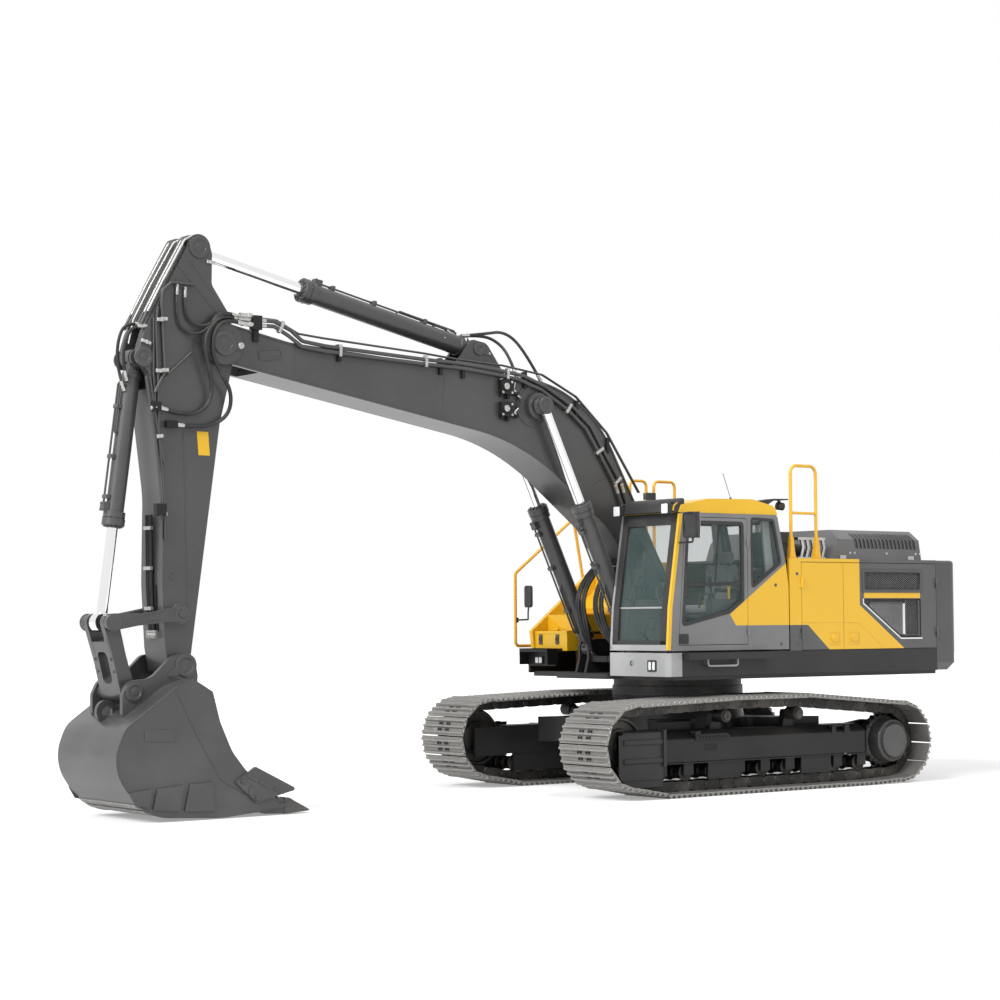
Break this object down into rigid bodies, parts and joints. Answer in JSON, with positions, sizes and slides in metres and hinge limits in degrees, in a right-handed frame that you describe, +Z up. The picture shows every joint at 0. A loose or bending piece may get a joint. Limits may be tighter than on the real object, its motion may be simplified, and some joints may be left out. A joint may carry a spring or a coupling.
{
  "type": "crawler excavator",
  "caption": "Crawler excavator with a swinging upper structure, side cab, bent boom, arm and bucket moved by cylinders, on two tracks with triple-bar shoes.",
  "frame": {"origin": "on the ground, on the axis of the swing bearing", "axes": "+X forward to the boom and bucket, +Y to the machine's left, where the cab is, +Z up"},
  "size_m": [11.1508, 3.5034, 5.8348],
  "materials": {
    "charcoal_paint": "semi-gloss charcoal paint, dusty in the corners",
    "grey_paint": "semi-gloss mid grey paint",
    "light_grey_paint": "satin light grey paint",
    "yellow_paint": "semi-gloss warm yellow paint",
    "rail_paint": "gloss orange-yellow paint on tube",
    "black_paint": "satin black paint with dried mud",
    "shoe_steel": "rolled steel, worn pale on the grouser tips",
    "wheel_steel": "dark cast wheels, polished where they roll",
    "bearing_steel": "machined steel under grease",
    "tooth_steel": "hardened cast tips, scuffed bright",
    "rod_chrome": "hard chrome, mirror bright",
    "engine_iron": "painted cast iron",
    "pipe_chrome": "bright exhaust tube, heat-tinted",
    "black_plastic": "grained black plastic",
    "seat_fabric": "woven grey-black seat cloth",
    "console_plastic": "grained dark grey plastic",
    "tinted_glass": "clear laminated glass with a green tint"
  },
  "bodies": {
    "undercarriage": {"car_body": "black_paint", "track_frame_left": "black_paint", "track_frame_right": "black_paint", "track_left": "shoe_steel", "track_right": "shoe_steel", "idler_left": "wheel_steel", "idler_right": "wheel_steel", "sprocket_left": "wheel_steel", "sprocket_right": "wheel_steel", "rollers_left": "wheel_steel", "rollers_right": "wheel_steel", "swing_ring_lower": "bearing_steel"},
    "upper_structure": {"main_frame": "charcoal_paint", "side_skirts": "charcoal_paint", "front_block": "light_grey_paint", "counterweight": "charcoal_paint", "left_panels": "charcoal_paint", "right_panels": "yellow_paint", "fuel_tank": "yellow_paint", "tool_box": "yellow_paint", "hydraulic_tank": "yellow_paint", "engine": "engine_iron", "deck_top": "charcoal_paint", "exhaust": "pipe_chrome", "air_intake": "black_plastic", "cab_shell": "grey_paint", "cab_roof": "yellow_paint", "cab_glass": "tinted_glass", "seat": "seat_fabric", "consoles": "console_plastic", "handrail_left": "rail_paint", "handrails_right": "rail_paint", "handrails_top": "rail_paint", "work_lamps": "black_plastic", "mirror_left": "black_plastic", "swing_ring_upper": "bearing_steel"},
    "boom": {"boom": "charcoal_paint"},
    "arm": {"arm": "charcoal_paint"},
    "bucket": {"bucket": "charcoal_paint", "bucket_teeth": "tooth_steel"},
    "boom_cylinder_left_barrel": {"boom_cylinder_left_barrel": "charcoal_paint"},
    "boom_cylinder_left_rod": {"boom_cylinder_left_rod": "rod_chrome"},
    "boom_cylinder_right_barrel": {"boom_cylinder_right_barrel": "charcoal_paint"},
    "boom_cylinder_right_rod": {"boom_cylinder_right_rod": "rod_chrome"},
    "arm_cylinder_barrel": {"arm_cylinder_barrel": "charcoal_paint"},
    "arm_cylinder_rod": {"arm_cylinder_rod": "rod_chrome"},
    "bucket_cylinder_barrel": {"bucket_cylinder_barrel": "charcoal_paint"},
    "bucket_cylinder_rod": {"bucket_cylinder_rod": "rod_chrome"},
    "guide_links": {"guide_links": "charcoal_paint"},
    "bucket_link": {"bucket_link": "charcoal_paint"},
    "cab_door": {"cab_door": "grey_paint", "door_glass": "tinted_glass"},
    "engine_hood": {"engine_hood": "charcoal_paint"},
    "side_door_front": {"side_door_front": "yellow_paint"},
    "side_door_rear": {"side_door_rear": "yellow_paint"},
    "pump_door": {"pump_door": "yellow_paint"},
    "tool_box_lid": {"tool_box_lid": "yellow_paint"}
  },
  "joints": [
    {"name": "swing", "type": "hinge", "parent": "undercarriage", "child": "upper_structure", "pos_m": [0, 0, 1.16], "axis": [0, 0, 1], "continuous": true},
    {"name": "boom_lift", "type": "hinge", "parent": "upper_structure", "child": "boom", "pos_m": [0.41, 0, 2.08], "axis": [0, -1, 0], "range_deg": [-66, 37]},
    {"name": "arm_swing", "type": "hinge", "parent": "boom", "child": "arm", "pos_m": [6.29, 0, 4.735], "axis": [0, 1, 0], "range_deg": [-66, 47]},
    {"name": "bucket_curl", "type": "hinge", "parent": "arm", "child": "bucket", "pos_m": [6.745, 0, 1.5], "axis": [0, 1, 0], "range_deg": [-80, 90]},
    {"name": "cab_door_hinge", "type": "hinge", "parent": "upper_structure", "child": "cab_door", "pos_m": [0.253, 1.508, 2.3], "axis": [0, 0, 1], "range_deg": [0, 165]},
    {"name": "side_door_front_hinge", "type": "hinge", "parent": "upper_structure", "child": "side_door_front", "pos_m": [-0.585, 1.508, 2], "axis": [0, 0, 1], "range_deg": [-105, 0]},
    {"name": "side_door_rear_hinge", "type": "hinge", "parent": "upper_structure", "child": "side_door_rear", "pos_m": [-2.827, 1.508, 2], "axis": [0, 0, 1], "range_deg": [0, 110]},
    {"name": "pump_door_hinge", "type": "hinge", "parent": "upper_structure", "child": "pump_door", "pos_m": [-2.677, -1.508, 2], "axis": [0, 0, -1], "range_deg": [0, 110]},
    {"name": "engine_hood_hinge", "type": "hinge", "parent": "upper_structure", "child": "engine_hood", "pos_m": [-2.8033, 0.175, 2.629], "axis": [0, -1, 0], "range_deg": [0, 60]},
    {"name": "tool_box_lid_hinge", "type": "hinge", "parent": "upper_structure", "child": "tool_box_lid", "pos_m": [0.8133, -1.13, 1.81], "axis": [0, -1, 0], "range_deg": [0, 80]},
    {"name": "boom_cylinder_left_pivot", "type": "hinge", "parent": "upper_structure", "child": "boom_cylinder_left_barrel", "pos_m": [0.99, 0.4, 1.6], "axis": [0, -1, 0], "range_deg": [-67.2, 38.1]},
    {"name": "boom_cylinder_left_slide", "type": "slide", "parent": "boom_cylinder_left_barrel", "child": "boom_cylinder_left_rod", "axis": [0.4305, 0, 0.9026], "range_m": [-0.773, 0.435]},
    {"name": "boom_cylinder_right_pivot", "type": "hinge", "parent": "upper_structure", "child": "boom_cylinder_right_barrel", "pos_m": [0.99, -0.4, 1.6], "axis": [0, -1, 0], "range_deg": [-67.2, 38.1]},
    {"name": "boom_cylinder_right_slide", "type": "slide", "parent": "boom_cylinder_right_barrel", "child": "boom_cylinder_right_rod", "axis": [0.4305, 0, 0.9026], "range_m": [-0.773, 0.435]},
    {"name": "arm_cylinder_pivot", "type": "hinge", "parent": "boom", "child": "arm_cylinder_barrel", "pos_m": [2.99, 0, 4.915], "axis": [0, -1, 0], "range_deg": [-4.9, 6.5]},
    {"name": "arm_cylinder_slide", "type": "slide", "parent": "arm_cylinder_barrel", "child": "arm_cylinder_rod", "axis": [0.976, 0, 0.2178], "range_m": [-1.006, 0.718]},
    {"name": "guide_links_pivot", "type": "hinge", "parent": "arm", "child": "guide_links", "pos_m": [6.745, 0, 2.012], "axis": [0, -1, 0], "range_deg": [-69.4, 61.8]},
    {"name": "bucket_link_pivot", "type": "hinge", "parent": "guide_links", "child": "bucket_link", "pos_m": [7.498, 0, 1.931], "axis": [0, -1, 0], "range_deg": [-57, 64]},
    {"name": "bucket_cylinder_pivot", "type": "hinge", "parent": "arm", "child": "bucket_cylinder_barrel", "pos_m": [7.15, 0, 4.555], "axis": [0, -1, 0], "range_deg": [-6.4, 5.8]},
    {"name": "bucket_cylinder_slide", "type": "slide", "parent": "bucket_cylinder_barrel", "child": "bucket_cylinder_rod", "axis": [0.1315, 0, -0.9913], "range_m": [-0.681, 0.766]}
  ],
  "couplings": [
    {"joint": "boom_cylinder_left_pivot", "follows": "boom_lift", "ratio": 1.003},
    {"joint": "boom_cylinder_left_slide", "follows": "boom_lift", "m_per_rad": 0.6666},
    {"joint": "boom_cylinder_right_pivot", "follows": "boom_lift", "ratio": 1.003},
    {"joint": "boom_cylinder_right_slide", "follows": "boom_lift", "m_per_rad": 0.6666},
    {"joint": "arm_cylinder_pivot", "follows": "arm_swing", "ratio": -0.0836},
    {"joint": "arm_cylinder_slide", "follows": "arm_swing", "m_per_rad": 0.8688},
    {"joint": "guide_links_pivot", "follows": "bucket_curl", "ratio": -0.76},
    {"joint": "bucket_link_pivot", "follows": "bucket_curl", "ratio": 0.7},
    {"joint": "bucket_cylinder_pivot", "follows": "bucket_curl", "ratio": -0.0598},
    {"joint": "bucket_cylinder_slide", "follows": "bucket_curl", "m_per_rad": 0.4844}
  ]
}
